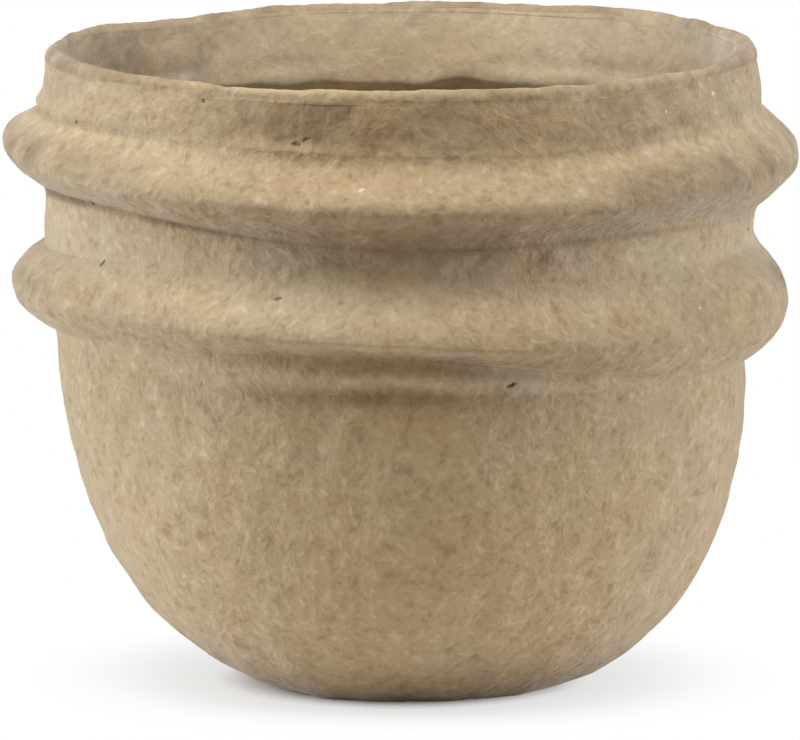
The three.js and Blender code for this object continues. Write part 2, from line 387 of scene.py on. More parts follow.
def hollow(top, foot, nose, depth, rows):
    """The hollow behind a roll, from its top edge down to its foot, in the inside of the wall.

    It is a cosine arch above and below its deepest line, which is the level of the roll's nose.
    """
    share = np.linspace(1, -1, rows)[:, None]
    level = nose + share * np.where(share < 0, nose - foot, top - nose)
    return run(wall_radius(level) - WALL + depth * np.cos(share * math.pi / 2).clip(0), level)


def bezier(points, share):
    """Cubic Bezier curve of four (radius, level) points, and its direction, at each share from 0 to 1."""
    a, b, c, d = (np.array(p, float) for p in points)
    t = share[:, None]
    place = (1 - t) ** 3 * a + 3 * (1 - t) ** 2 * t * b + 3 * (1 - t) * t**2 * c + t**3 * d
    slope = 3 * ((1 - t) ** 2 * (b - a) + 2 * (1 - t) * t * (c - b) + t**2 * (d - c))
    return place, slope / np.linalg.norm(slope, axis=1, keepdims=True)


# The bowl's outside as a cubic curve: the foot's edge, a handle for each end, and the top
BOWL_CURVE = (
    (FOOT_RADIUS, 0),
    (FOOT_RADIUS + 14, 5.6),
    (BOWL_RADIUS - 3, BOWL_TOP - 121),
    (BOWL_RADIUS, BOWL_TOP),
)


def bowl_side(depth, floor, rows):
    """The bowl's curve moved inwards by a depth, from a floor level to its top, in rows of even length."""
    place, slope = bezier(BOWL_CURVE, np.linspace(0, 1, CURVE_SAMPLES))
    inner = place + depth * np.stack([-slope[:, 1], slope[:, 0]], axis=1)
    inner = inner[inner[:, 1] >= floor]
    inner[0, 1] = floor
    length = np.concatenate([[0], np.cumsum(np.linalg.norm(np.diff(inner, axis=0), axis=1))])
    even = np.linspace(0, length[-1], rows)
    return run(np.interp(even, length, inner[:, 0])[:, None], np.interp(even, length, inner[:, 1])[:, None])


# Surface of the pulp

def plane_waves(seed, count, shortest, longest):
    """Seeded plane waves for a relief: a direction over a wavelength for each, and a phase."""
    random = np.random.default_rng(seed)
    direction = random.normal(size=(count, 3))
    direction /= np.linalg.norm(direction, axis=1, keepdims=True)
    length = np.exp(random.uniform(math.log(shortest), math.log(longest), count))
    return direction * (2 * math.pi / length)[:, None], random.uniform(0, 2 * math.pi, count)


def summed(points, waves):
    """Sum of plane waves at each point, scaled so that its usual size is 1."""
    numbers, phases = waves
    flat = points.reshape(-1, 3)
    total = np.zeros(len(flat))
    for number, phase in zip(numbers, phases):
        total += np.cos(flat @ number + phase)
    return (total * math.sqrt(2 / len(phases))).reshape(points.shape[:-1])


# Relief: its waves by seed, count, shortest and longest, their sizes, and the inner corners where it is calm
DENTS = plane_waves(11, 26, 70, 150)
LUMPS = plane_waves(12, 48, 16, 38)
GRAIN = plane_waves(13, 90, 6.5, 11)
DENT_SIZE = 0.6
LUMP_SIZE = 0.27
GRAIN_SIZE = 0.16
RIDGE_TOP = 0.8
CORNERS = (LOWER_CREASE, WAIST_FOOT, UPPER_CREASE, NECK_FOOT)
CORNER_REACH = 3.5
CORNER_CALM = 0.85

# Share of the relief on the calmer surfaces. A back that is pressed on other paper has its faces turned to
# that paper, so it takes the relief the other way.
FLOOR_RELIEF = 0.2
INSIDE_RELIEF = 0.8
LOWER_HOLLOW_RELIEF = 0.6
PRESSED = -1.0

# Small holes: degrees to the right of the front, level, radius of the wall, half length, half height, tilt
HOLES = (
    (-61.6, 256, 160, 1.1, 1.1, 0),
    (-57.8, 222, 156, 1.8, 1.2, 20),
    (-55, 196.8, 160, 1.0, 1.7, 0),
    (-18.9, 190, 167, 2.2, 1.1, 10),
    (-16.5, 256, 160, 2.4, 1.1, -8),
    (-14.9, 258, 160, 2.4, 1.1, 18),
    (-32.9, 272, 159, 1.2, 1.3, 0),
    (17.6, 151.8, 153, 2.6, 1.1, 14),
    (76, 204, 156, 1.2, 0.8, 30),
    (118, 176, 171, 1.6, 0.7, -20),
    (141, 258, 160, 0.9, 0.8, 0),
    (171, 120, 149, 1.2, 0.7, 40),
    (-128, 228, 170, 1.7, 0.8, 12),
    (-150, 98, 145, 0.9, 0.7, 0),
)
HOLE_REACH = 8.0
DIMPLE_RADIUS = 2.2
DIMPLE_DEPTH = 0.5

# Pale bits of paper, in the same terms
PALE_BITS = (
    (61, 268.6, 158, 1.3, 1.1, 0),
    (-5.6, 238.6, 170, 1.6, 0.8, 15),
    (-100, 130, 150, 1.2, 0.9, 0),
    (152, 180, 170, 1.4, 0.8, 30),
)


def relief(points):
    """Height of the pulp's surface: broad dents and lumps, and a grain of worm-like ridges.

    The grain is a ridged sum: it stands highest where its waves cancel, and falls away on both sides.
    """
    ridges = RIDGE_TOP - np.abs(summed(points, GRAIN))
    return DENT_SIZE * summed(points, DENTS) + LUMP_SIZE * summed(points, LUMPS) + GRAIN_SIZE * ridges


def mark_place(right, level, radius):
    """A place on the wall: its centre in millimetres, leaning as the pot does, and its angle from +X."""
    angle = math.radians(right - 90)
    across = radius * math.cos(angle) + float(lean(level))
    return np.array([across, radius * math.sin(angle), level]), angle


def dimples(points):
    """Depth of the dents round the small holes, each a bell on the outside of the wall."""
    depth = np.zeros(points.shape[:-1])
    for right, level, radius, *_ in HOLES:
        centre, angle = mark_place(right, level, radius)
        off = points - centre
        out = off[..., 0] * math.cos(angle) + off[..., 1] * math.sin(angle)
        square = (off**2).sum(axis=-1) - out**2
        depth += DIMPLE_DEPTH * np.exp(-square / DIMPLE_RADIUS**2) * (np.abs(out) < HOLE_REACH)
    return depth


def outward(points):
    """Normals of an open grid, from its slopes along the rows and round the pot."""
    up = np.gradient(points, axis=0)
    round_pot = np.roll(points, -1, axis=1) - np.roll(points, 1, axis=1)
    normal = np.cross(round_pot, up)
    return normal / np.linalg.norm(normal, axis=-1, keepdims=True)


def no_more_than(value, limit):
    """A value that bends over smoothly below a limit, and is left alone far below it."""
    bent = limit - LIMIT_SOFTNESS * np.logaddexp(0, (limit - value) / LIMIT_SOFTNESS)
    return np.where(value > limit - LIMIT_REACH, bent, value)


def kept_inside(points):
    """Points drawn in where they would pass the widest radius, the top of the rim or the floor."""
    radius = np.hypot(points[..., 0], points[..., 1])
    points[..., :2] *= (no_more_than(radius, WIDEST) / np.maximum(radius, NO_RADIUS))[..., None]
    points[..., 2] = np.maximum(no_more_than(points[..., 2], RIM_TOP), 0)
    return points


def pulp_skin(stretch, strength=1.0, inner=0.0, shade=0.0):
    """A visible stretch of pulp: its grid moved along its normals by the relief, less the dimples.

    Most of the relief is taken away by a bell at each inner corner, so that the skin doesn't fold over. The
    second grid is a mark of painted light, 1 on the inside of the pot, and the third a mark of painted
    shade.
    """
    points = placed(*stretch, lifted=True)
    bells = sum(np.exp(-(((stretch[1] - level) / CORNER_REACH) ** 2)) for level in CORNERS)
    height = strength * (1 - CORNER_CALM * bells) * (relief(points) - dimples(points))
    moved = points + outward(points) * height[..., None]
    shape = points.shape[:-1]
    return kept_inside(moved), np.broadcast_to(inner, shape), np.broadcast_to(shade, shape)


def hidden(stretch):
    """A stretch that lies in a lap: left as it is."""
    points = placed(*stretch, lifted=True)
    return points, np.zeros(points.shape[:-1]), np.zeros(points.shape[:-1])


def bands(level, *parts):
    """Sum of bands along a level, each a bell across its line. Its strength may change round the pot."""
    return sum(strength * np.exp(-(((level - line) / half) ** 2)) for line, half, strength in parts)


# Meshes

def grid_faces(rows, ring):
    """Quads between rows and columns. The columns close on themselves, and so do a ring's rows."""
    row = np.arange(rows if ring else rows - 1)[:, None]
    column = np.arange(COLUMNS)[None, :]
    here = row * COLUMNS
    above = (row + 1) % rows * COLUMNS
    beside = (column + 1) % COLUMNS
    return np.stack([here + column, here + beside, above + beside, above + column], axis=-1).reshape(-1, 4)


def cap_faces(rows):
    """Triangles from the first row to a pole below it, and from the last row to a pole above it."""
    column = np.arange(COLUMNS)
    beside = (column + 1) % COLUMNS
    last = (rows - 1) * COLUMNS
    pole = rows * COLUMNS
    low = np.stack([beside, column, np.full(COLUMNS, pole)], axis=-1)
    high = np.stack([last + column, last + beside, np.full(COLUMNS, pole + 1)], axis=-1)
    return np.concatenate([low, high])


def creased(mesh, rows):
    """Marks the edges that run along some rows of the grid as sharp."""
    ends = np.empty(2 * len(mesh.edges), np.int32)
    mesh.edges.foreach_get("vertices", ends)
    row = ends.reshape(-1, 2) // COLUMNS
    sharp = (row[:, 0] == row[:, 1]) & np.isin(row[:, 0], rows)
    mesh.attributes.new("sharp_edge", "BOOLEAN", "EDGE").data.foreach_set("value", sharp)


def shown(name, data):
    """An object of a mesh, lamp or camera, linked into the scene."""
    thing = bpy.data.objects.new(name, data)
    bpy.context.scene.collection.objects.link(thing)
    return thing


def made_piece(name, node, body, material, points, marks, creases, ring):
    """A mesh of the grid with its marks as attributes, smooth but for some creased rows.

    A vessel gets a pole at each end of its profile, and a ring's profile closes on itself.
    """
    rows = len(points)
    vertices = points.reshape(-1, 3)
    faces = grid_faces(rows, ring).tolist()
    attributes = {key: values.reshape(-1) for key, values in marks.items()}
    if not ring:
        poles = points[[0, -1]].mean(axis=1)
        vertices = np.concatenate([vertices, poles])
        faces += cap_faces(rows).tolist()
        attributes = {key: np.concatenate([values, [0, 0]]) for key, values in attributes.items()}
    mesh = bpy.data.meshes.new(name)
    mesh.from_pydata(vertices * MM, [], faces)
    for key, values in attributes.items():
        mesh.attributes.new(key, "FLOAT", "POINT").data.foreach_set("value", values.astype(np.float32))
    mesh.polygons.foreach_set("use_smooth", np.ones(len(mesh.polygons), bool))
    creased(mesh, creases)
    mesh.materials.append(material)
    mesh.update()
    piece = shown(name, mesh)
    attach(piece, body)
    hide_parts(node)


def paper_piece(name, node, material, stretches, ring):
    """A piece of the pot from its stretches of skin and lap, with a crease where two stretches meet."""
    points, inner, shade = (np.concatenate(parts) for parts in zip(*stretches))
    ends = np.cumsum([len(part) for part, *_ in stretches])
    creases = np.concatenate([ends - 1, ends % len(points)])
    # inner carries painted light and shade carries painted shade
    marks = {"inner": inner, "shade": shade}
    made_piece(name, node, "pot", material, points, marks, creases, ring)


# Pieces

def spigot(radius, foot, crease):
    """The thinned top of a tier, inside the tier above: its outer side, and the inner edge of its top."""
    top = crease + HOLLOW_INSET - PASTE_GAP
    inset = radius - LAP_DEPTH
    return joined(corner(inset, foot + FEATHER_REACH), corner(inset, top)), corner(radius - WALL, top)


def pressed_edge(radius, foot):
    """The back of a tier's thin lower edge, pressed on the tier below, from its rebate down to its foot."""
    over_lap = foot + FEATHER_REACH + PASTE_GAP
    rebate = corner(radius - LAP_DEPTH + PASTE_GAP, over_lap)
    return hidden(rebate), pulp_skin(run(radius + FEATHER_GAP, steps(over_lap, foot, EDGE_ROWS)), PRESSED)


def rebate_top(radius, crease):
    """The top of the rebate in a tier, at the foot of its hollow."""
    return hidden(corner(radius - LAP_DEPTH + PASTE_GAP, crease + HOLLOW_INSET))


def bowl(material):
    """Bowl: flat foot, round wall, a spigot inside the lower collar, and the inside down to the floor.

    The floor and the lowest row of the inside stay just under the liner.
    """
    outside = joined(
        run(steps(POLE_RING, FOOT_RADIUS, FLAT_ROWS)[:-1], 0),
        bowl_side(0, 0, BOWL_ROWS),
        run(BOWL_RADIUS, steps(BOWL_TOP, BOWL_TOP + FEATHER_REACH, LAP_ROWS)[1:]),
    )
    inside_radius, inside_level = bowl_side(WALL, FOOT_THICKNESS, BOWL_INSIDE_ROWS)
    floor = run(steps(inside_radius[0], POLE_RING, FLAT_ROWS)[1:], FOOT_THICKNESS)
    inside_skin = pulp_skin((inside_radius[::-1], inside_level[::-1]), INSIDE_RELIEF, inner=1.0)
    floor_skin = pulp_skin(floor, FLOOR_RELIEF, inner=1.0)
    for points in (inside_skin[0][-1:], floor_skin[0]):
        points[..., 2] = np.minimum(points[..., 2], FOOT_THICKNESS + PASTE_GAP / 3)
    stretches = [
        # Painted shadow under the ledge, as on the lower collar
        pulp_skin(outside, shade=bands(outside[1], SKIRT_BAND)),
        hidden(joined(*spigot(BOWL_RADIUS, BOWL_TOP, LOWER_CREASE))),
        inside_skin,
        floor_skin,
    ]
    paper_piece("pulp_bowl", "bowl", material, stretches, ring=False)


def lower_collar(material):
    """Lower collar: a skirt with a soft ledge at the front, the lower roll, the waist and a spigot on top.

    The skirt flares by the square of its share, and its ledge is a bead of a squared sine.
    """
    share = np.linspace(0, 1, SKIRT_ROWS, endpoint=False)[:, None]
    bead = np.sin(math.pi * share) ** 2
    flare = share**2 * (SKIRT_RADIUS - BOWL_RADIUS)
    skirt_radius = BOWL_RADIUS + FEATHER_EDGE + flare + LEDGE_DEPTH * LEDGE * bead
    skirt = run(skirt_radius, BOWL_TOP + share * (LOWER_CREASE - BOWL_TOP))
    waist = run(WAIST_RADIUS, steps(WAIST_FOOT, WAIST_TOP + FEATHER_REACH, WAIST_ROWS)[1:])
    outside = joined(skirt, lower_roll(), waist)
    level = outside[1]
    # Painted shade: bands in the upper crease, under the ledge and on the lower crest, and darker under both
    # rolls at the front
    shade = bands(level, *LOWER_BANDS) + WAIST_PAINTED_SHADE * ramp(level, *UNDER_ROLL)
    shade += LOWER_BELLY_PAINTED_SHADE * ramp(level, *LOWER_BELLY) * (level > LOWER_CREASE)
    # Painted light: paler bands and a paler ledge, through the inner mark
    painted_light = bands(level, *LOWER_PAINTED_LIGHT_BANDS)
    painted_light[:SKIRT_ROWS] += LEDGE_PAINTED_LIGHT * bead
    lap, lap_top = spigot(WAIST_RADIUS, WAIST_TOP, UPPER_CREASE)
    hollow_levels = (WAIST_FOOT - HOLLOW_INSET, LOWER_CREASE + HOLLOW_INSET, LOWER_NOSE)
    back = joined(lap_top, hollow(*hollow_levels, LOWER_DEPTH, LOWER_HOLLOW_ROWS))
    stretches = [
        *pressed_edge(BOWL_RADIUS, BOWL_TOP),
        pulp_skin(outside, inner=painted_light, shade=shade),
        hidden(lap),
        pulp_skin(back, LOWER_HOLLOW_RELIEF, inner=1.0),
        rebate_top(BOWL_RADIUS, LOWER_CREASE),
    ]
    paper_piece("pulp_lower_collar", "lower_collar", material, stretches, ring=True)


def upper_collar(material):
    """Upper collar: a thin edge in the crease, the upper roll, the neck, a tongue on top, the hollow inside.

    The neck's foot is swollen by a band on the left. Inside, the rows that the binding covers stand back.
    """
    binding_foot = BINDING_FOOT + TORN_EDGE[None, :]
    tongue_foot = binding_foot + FEATHER_REACH
    tongue_top = MOUTH - BINDING_THICKNESS - PASTE_GAP
    cover = BINDING_THICKNESS - BINDING_PROUD + PASTE_GAP
    edge = run(WAIST_RADIUS + CREASE_EDGE, steps(WAIST_TOP, UPPER_CREASE, LAP_ROWS)[:-1])
    neck_level = steps(NECK_FOOT, tongue_foot, NECK_ROWS)[1:]
    radius, level = joined(edge, upper_roll(), run(wall_radius(neck_level), neck_level))
    outside = radius + bands(level, NECK_FLARE), level
    # Painted shade: bands in the crease and on the crest, on the neck, and under the upper roll at the front
    shade = bands(level, *UPPER_BANDS) + NECK_SHADE * ramp(level, *NECK_START)
    shade += UPPER_BELLY_PAINTED_SHADE * ramp(level, *UPPER_BELLY)
    tongue = joined(
        corner(wall_radius(tongue_foot) - cover, tongue_foot),
        corner(wall_radius(tongue_top) - cover, tongue_top),
        corner(inner_neck(tongue_top) + cover, tongue_top),
        corner(inner_neck(tongue_foot) + cover, tongue_foot),
    )
    hollow_top = HOLLOW_TOP + TORN_HOLLOW[None, :]
    covered = steps(tongue_foot, binding_foot + COVERED_END, COVERED_ROWS)
    bare = steps(binding_foot + BARE_NEXT, hollow_top, NECK_INSIDE_ROWS)[:-1]
    bare = np.concatenate([binding_foot + BARE_START, bare])
    back = joined(
        run(inner_neck(covered) + COVERED_RECESS, covered),
        run(inner_neck(bare), bare),
        hollow(hollow_top, UPPER_CREASE + HOLLOW_INSET, UPPER_NOSE, UPPER_DEPTH, UPPER_HOLLOW_ROWS),
    )
    # Painted shade inside: in the hollow, in a band along its top edge, and on the sides
    above = np.maximum(INSIDE_SHADE, bands(back[1], (hollow_top, HOLLOW_BAND, HOLLOW_EDGE_SHADE)))
    inside_painted_shade = np.where(back[1] < hollow_top, HOLLOW_SHADE, above)
    stretches = [
        *pressed_edge(WAIST_RADIUS, WAIST_TOP),
        pulp_skin(outside, shade=shade),
        hidden(tongue),
        pulp_skin(back, inner=1.0, shade=inside_painted_shade),
        rebate_top(WAIST_RADIUS, UPPER_CREASE),
    ]
    paper_piece("pulp_upper_collar", "upper_collar", material, stretches, ring=True)


def rim_binding(material):
    """Rim binding: a strip folded over the tongue.

    Its crown is a quarter of an ellipse on each side, flatter at the front left, and elsewhere darkened by
    painted shade that tones down its lit top. The outer leg thins out from the crown to a torn edge, by a
    smooth step down its height, and the inner leg lies flush with the neck. The painted light of the paler
    inside sets in over the crown, and a painted shadow lies under the torn edge at the front.
    """
    shoulder = MOUTH - CROWN
    roof = MOUTH - BINDING_THICKNESS
    foot = BINDING_FOOT + TORN_EDGE[None, :]
    under = foot + FEATHER_REACH + PASTE_GAP
    cover = BINDING_THICKNESS - BINDING_PROUD
    share = np.linspace(0, 1, LEG_ROWS)[:, None]
    proud = BINDING_EDGE + (BINDING_PROUD - BINDING_EDGE) * share**2 * (3 - 2 * share)
    outer_level = steps(foot, shoulder, LEG_ROWS)
    inner_level = steps(INNER_SHOULDER, foot, LEG_ROWS)
    outer_edge = wall_radius(shoulder) + BINDING_PROUD
    inner_edge = inner_neck(INNER_SHOULDER) - FEATHER_EDGE
    angle = np.linspace(0, math.pi, CROWN_ROWS + 2)[1:-1, None]
    crown_foot = np.where(angle < math.pi / 2, shoulder, INNER_SHOULDER)
    across = (outer_edge + inner_edge) / 2 + (outer_edge - inner_edge) / 2 * np.cos(angle)
    strip = joined(
        run(wall_radius(outer_level) + proud, outer_level),
        run(across, crown_foot + (MOUTH - crown_foot) * np.sin(angle)),
        run(inner_neck(inner_level) - FEATHER_EDGE, inner_level),
    )
    back_level = steps(foot, under, LAP_ROWS)
    outer_back = run(wall_radius(back_level[::-1]) + FEATHER_GAP, back_level[::-1])
    inner_back = run(inner_neck(back_level) - FEATHER_GAP, back_level)
    fold = joined(
        corner(inner_neck(under) + cover, under),
        corner(inner_neck(roof) + cover, roof),
        corner(wall_radius(roof) - cover, roof),
        corner(wall_radius(under) - cover, under),
    )
    over_crown = np.linspace(0, 1, CROWN_ROWS) ** INNER_POWER
    inner = np.concatenate([np.zeros(LEG_ROWS), over_crown, np.ones(LEG_ROWS)])[:, None]
    top = np.concatenate([share**OUTER_FADE, np.ones((CROWN_ROWS, 1)), share[::-1] ** INNER_FADE])
    # Painted shade on the crown and inside, and a painted shadow under the torn edge
    shade = np.maximum(CROWN_SHADE * top, INSIDE_SHADE * inner)
    shade += bands(strip[1], (foot, BINDING_BAND, BINDING_SHADE * (1 - top)))
    stretches = [
        pulp_skin(outer_back, PRESSED),
        pulp_skin(strip, inner=inner, shade=shade),
        pulp_skin(inner_back, PRESSED, inner=1.0, shade=INSIDE_SHADE),
        hidden(fold),
    ]
    paper_piece("paper_rim_binding", "rim_binding", material, stretches, ring=True)


def liner(material):
    """Liner: the bowl's curve at a clearance, a straight wall, and a rolled lip of rounded section."""
    low, high = node_box("liner")
    floor, top = low[2], high[2]
    depth = WALL + LINER_CLEARANCE
    lip = (high[0] - low[0]) / 2
    outer = lip - LIP_OVERHANG
    inner = outer - LINER_WALL
    lip_middle = (inner + lip) / 2
    lip_half = (lip - inner) / 2
    lip_level = top - LIP_HALF_HEIGHT
    outside_radius, outside_level = bowl_side(depth, floor, LINER_SIDE_ROWS)
    inside_radius, inside_level = bowl_side(depth + LINER_WALL, floor + LINER_WALL, LINER_SIDE_ROWS)
    angle = np.linspace(-math.pi / 2, math.pi, LIP_ROWS)[:, None]
    profile = joined(
        run(steps(POLE_RING, outside_radius[0], LINER_FLAT_ROWS)[:-1], floor),
        (np.minimum(outside_radius, outer), outside_level),
        run(outer, steps(outside_level[-1], top - LIP_UNDERSIDE, LINER_WALL_ROWS)[1:]),
        run(lip_middle + lip_half * np.cos(angle), lip_level + LIP_HALF_HEIGHT * np.sin(angle)),
        run(inner, steps(top - LIP_INNER_EDGE, inside_level[-1], LINER_INSIDE_ROWS)[:-1]),
        (np.minimum(inside_radius, inner)[::-1], inside_level[::-1]),
        run(steps(inside_radius[0], POLE_RING, LINER_FLAT_ROWS)[1:], floor + LINER_WALL),
    )
    points = placed(*profile, lifted=False)
    made_piece("plastic_liner", "liner", "liner", material, points, {}, [], ring=False)


# Shader nodes

def add(tree, kind, inputs=None, **settings):
    """A shader node with its settings. An input is a socket to link or a plain value."""
    made = tree.nodes.new(kind)
    for key, value in settings.items():
        setattr(made, key, value)
    for key, value in (inputs or {}).items():
        if isinstance(value, bpy.types.NodeSocket):
            tree.links.new(value, made.inputs[key])
        else:
            made.inputs[key].default_value = value
    return made


def sums(tree, operation, first, second=0.0, clamp=False):
    """One step of arithmetic on values."""
    made = add(tree, "ShaderNodeMath", {0: first, 1: second}, operation=operation, use_clamp=clamp)
    return made.outputs[0]


def scaled(tree, value, factor):
    """A value times a factor."""
    return sums(tree, "MULTIPLY", value, factor)


def spread(tree, value, low, high, to_low=0.0, to_high=1.0):
    """A value moved smoothly from one range to another, held at the ends."""
    inputs = {"Value": value, "From Min": low, "From Max": high, "To Min": to_low, "To Max": to_high}
    return add(tree, "ShaderNodeMapRange", inputs, interpolation_type="SMOOTHSTEP").outputs[0]


def vectors(tree, operation, inputs):
    """One step of arithmetic on vectors. Gives its outputs."""
    return add(tree, "ShaderNodeVectorMath", inputs, operation=operation).outputs


def mapped(tree, vector, kind="POINT", **inputs):
    """Coordinates moved, turned and scaled."""
    return add(tree, "ShaderNodeMapping", {"Vector": vector, **inputs}, vector_type=kind).outputs[0]


def mixed(tree, share, first, second, how="MIX"):
    """Two colours mixed by a share."""
    inputs = {0: share, 6: first, 7: second}
    return add(tree, "ShaderNodeMix", inputs, data_type="RGBA", blend_type=how).outputs[2]


def tinted(tree, colour, share, first, second):
    """A colour times a mix of two tints."""
    return mixed(tree, 1.0, colour, mixed(tree, share, first, second), "MULTIPLY")


def noise(tree, vector, scale, detail=1.0):
    """A noise texture on given coordinates. Gives its outputs."""
    return add(tree, "ShaderNodeTexNoise", {"Vector": vector, "Scale": scale, "Detail": detail}).outputs


def reduced(tree, operation, values):
    """Values brought to one by a repeated step of arithmetic."""
    return functools.reduce(lambda one, other: sums(tree, operation, one, other), values)


def effect(name, outputs, **inputs):
    """An empty node group on coordinates, with named values. Gives its tree, its inputs and its outputs."""
    tree = bpy.data.node_groups.new(name, "ShaderNodeTree")
    tree.interface.new_socket(name="Vector", in_out="INPUT", socket_type="NodeSocketVector")
    for key, value in inputs.items():
        socket = tree.interface.new_socket(name=key, in_out="INPUT", socket_type="NodeSocketFloat")
        socket.default_value = value
    for key in outputs:
        tree.interface.new_socket(name=key, in_out="OUTPUT", socket_type="NodeSocketFloat")
    return tree, tree.nodes.new("NodeGroupInput").outputs, tree.nodes.new("NodeGroupOutput").inputs


STRAND_TURNS = ((0.3, 0.2, 0.0), (1.4, 0.5, 0.4), (0.8, 1.2, 1.9), (2.1, 0.9, 0.7), (1.1, 2.3, 2.6))
STRAND_STRETCH = (1, 1, 1.7)


def matted(tree, vector, scale):
    """Sum of the highest and the lowest of some sets of noise, each drawn out along its own direction."""
    strands = []
    for turn in STRAND_TURNS:
        drawn = mapped(tree, vector, "TEXTURE", Rotation=turn, Scale=STRAND_STRETCH)
        strands.append(noise(tree, drawn, scale)[0])
    return sums(tree, "ADD", reduced(tree, "MAXIMUM", strands), reduced(tree, "MINIMUM", strands))


def pulp_fibres():
    """Matted fibres: a coarse and a fine mat, and worms where two noises agree.

    All lie on coordinates that are bent by a broad noise. Pale is where their sum stands high and Dark where
    it lies low. Height is the sum with a fuzz on top. The scales are shares of the fibres' own scale.
    """
    bend_scale, bend_size = 0.3, 0.008
    fine_scale, coarse_share, fine_share = 1.9, 0.55, 0.45
    worm_scale, worm_width, worm_height = 1.15, 0.17, 0.05
    fuzz_scale, fuzz_height = 6.0, 0.1
    middle, reach = 1.0, 0.27
    tree, given, gives = effect("pulp_fibres", ["Height", "Pale", "Dark"], Scale=150.0)
    place, scale = given["Vector"], given["Scale"]
    bend = noise(tree, place, scaled(tree, scale, bend_scale))["Color"]
    centred = vectors(tree, "SUBTRACT", {0: bend, 1: (0.5, 0.5, 0.5)})[0]
    small = vectors(tree, "SCALE", {0: centred, "Scale": bend_size})[0]
    bent = vectors(tree, "ADD", {0: place, 1: small})[0]
    coarse = matted(tree, bent, scale)
    fine = matted(tree, bent, scaled(tree, scale, fine_scale))
    mats = sums(tree, "ADD", scaled(tree, coarse, coarse_share), scaled(tree, fine, fine_share))
    dense = scaled(tree, scale, worm_scale)
    moved = mapped(tree, bent, Location=(0.37, 0.71, 0.13))
    apart = sums(tree, "SUBTRACT", noise(tree, bent, dense)[0], noise(tree, moved, dense)[0])
    worms = spread(tree, sums(tree, "ABSOLUTE", apart), worm_width, 0.0, -worm_height, worm_height)
    both = sums(tree, "ADD", mats, worms)
    fuzz = noise(tree, place, scaled(tree, scale, fuzz_scale))[0]
    tree.links.new(sums(tree, "ADD", both, scaled(tree, fuzz, fuzz_height)), gives["Height"])
    tree.links.new(spread(tree, both, middle, middle + reach), gives["Pale"])
    tree.links.new(spread(tree, both, middle, middle - reach), gives["Dark"])
    return tree


def pulp_tone():
    """Uneven colour of dried pulp: broad and middling patches of tone, and slower patches of warmth."""
    middling_scale, warm_scale = 5.0, 1.6
    low, high = 0.3, 0.7
    tree, given, gives = effect("pulp_tone", ["Tone", "Warmth"], Scale=14.0)
    place, scale = given["Vector"], given["Scale"]
    broad = noise(tree, place, scale, detail=2.0)[0]
    middling = noise(tree, place, scaled(tree, scale, middling_scale), detail=3.0)[0]
    tone = sums(tree, "ADD", scaled(tree, broad, 0.5), scaled(tree, middling, 0.5))
    moved = mapped(tree, place, Location=(3.1, 1.7, 5.3))
    warm = noise(tree, moved, scaled(tree, scale, warm_scale), detail=2.0)[0]
    tree.links.new(spread(tree, tone, low, high), gives["Tone"])
    tree.links.new(spread(tree, warm, low, high), gives["Warmth"])
    return tree


def flecks():
    """Small scattered bits: round spots at the points of a cell pattern, kept in a share of the cells."""
    tree, given, gives = effect("flecks", ["Mask"], Scale=120.0, Share=0.1, Size=0.12)
    cells = add(tree, "ShaderNodeTexVoronoi", {"Vector": given["Vector"], "Scale": given["Scale"]}).outputs
    chance = add(tree, "ShaderNodeSeparateColor", {"Color": cells["Color"]}).outputs[0]
    kept = sums(tree, "LESS_THAN", chance, given["Share"])
    off = sums(tree, "DIVIDE", cells["Distance"], given["Size"])
    spot = sums(tree, "SUBTRACT", 1.0, off, clamp=True)
    tree.links.new(sums(tree, "MULTIPLY", kept, spread(tree, spot, 0.0, 0.5)), gives["Mask"])
    return tree


def wall_marks(name, places):
    """Marks at given places: full in an ellipsoid that faces out of the wall, with a ragged edge."""
    rag_scale, clear, full = 700.0, 1.75, 0.85
    tree, given, gives = effect(name, ["Mask"])
    distances = []
    for right, level, radius, half_length, half_height, tilt in places:
        centre, angle = mark_place(right, level, radius)
        turn = (math.radians(tilt), 0, angle)
        size = (HOLE_REACH * MM, half_length * MM, half_height * MM)
        own = mapped(tree, given["Vector"], "TEXTURE", Location=centre * MM, Rotation=turn, Scale=size)
        distances.append(vectors(tree, "LENGTH", {0: own})["Value"])
    rag = noise(tree, given["Vector"], rag_scale)[0]
    ragged = sums(tree, "ADD", reduced(tree, "MINIMUM", distances), rag)
    tree.links.new(spread(tree, ragged, clear, full), gives["Mask"])
    return tree


EFFECTS = {make.__name__: make() for make in (pulp_fibres, pulp_tone, flecks)}
EFFECTS["holes"] = wall_marks("holes", HOLES)
EFFECTS["pale_bits"] = wall_marks("pale_bits", PALE_BITS)


def placed_effect(tree, name, place, **inputs):
    """One of the shared effects, placed in a material with its own values. Gives its outputs."""
    return add(tree, "ShaderNodeGroup", {"Vector": place, **inputs}, node_tree=EFFECTS[name]).outputs


def fresh_material(name):
    """An empty node material. Gives the material, its tree and the object's coordinates."""
    material = bpy.data.materials.new(name)
    material.use_nodes = True
    material.node_tree.nodes.clear()
    coordinates = add(material.node_tree, "ShaderNodeTexCoord").outputs["Object"]
    return material, material.node_tree, coordinates


def finished(tree, colour, roughness, height, bump, **constants):
    """The surface shader with its colour, roughness and bump linked, and its constants on their sockets."""
    bump_inputs = {"Height": height, "Strength": bump[0], "Distance": bump[1]}
    normal = add(tree, "ShaderNodeBump", bump_inputs).outputs[0]
    inputs = {"Base Color": colour, "Roughness": roughness, "Normal": normal}
    inputs |= {key.replace("_", " "): value for key, value in constants.items()}
    shader = add(tree, "ShaderNodeBsdfPrincipled", inputs).outputs[0]
    add(tree, "ShaderNodeOutputMaterial", {"Surface": shader})


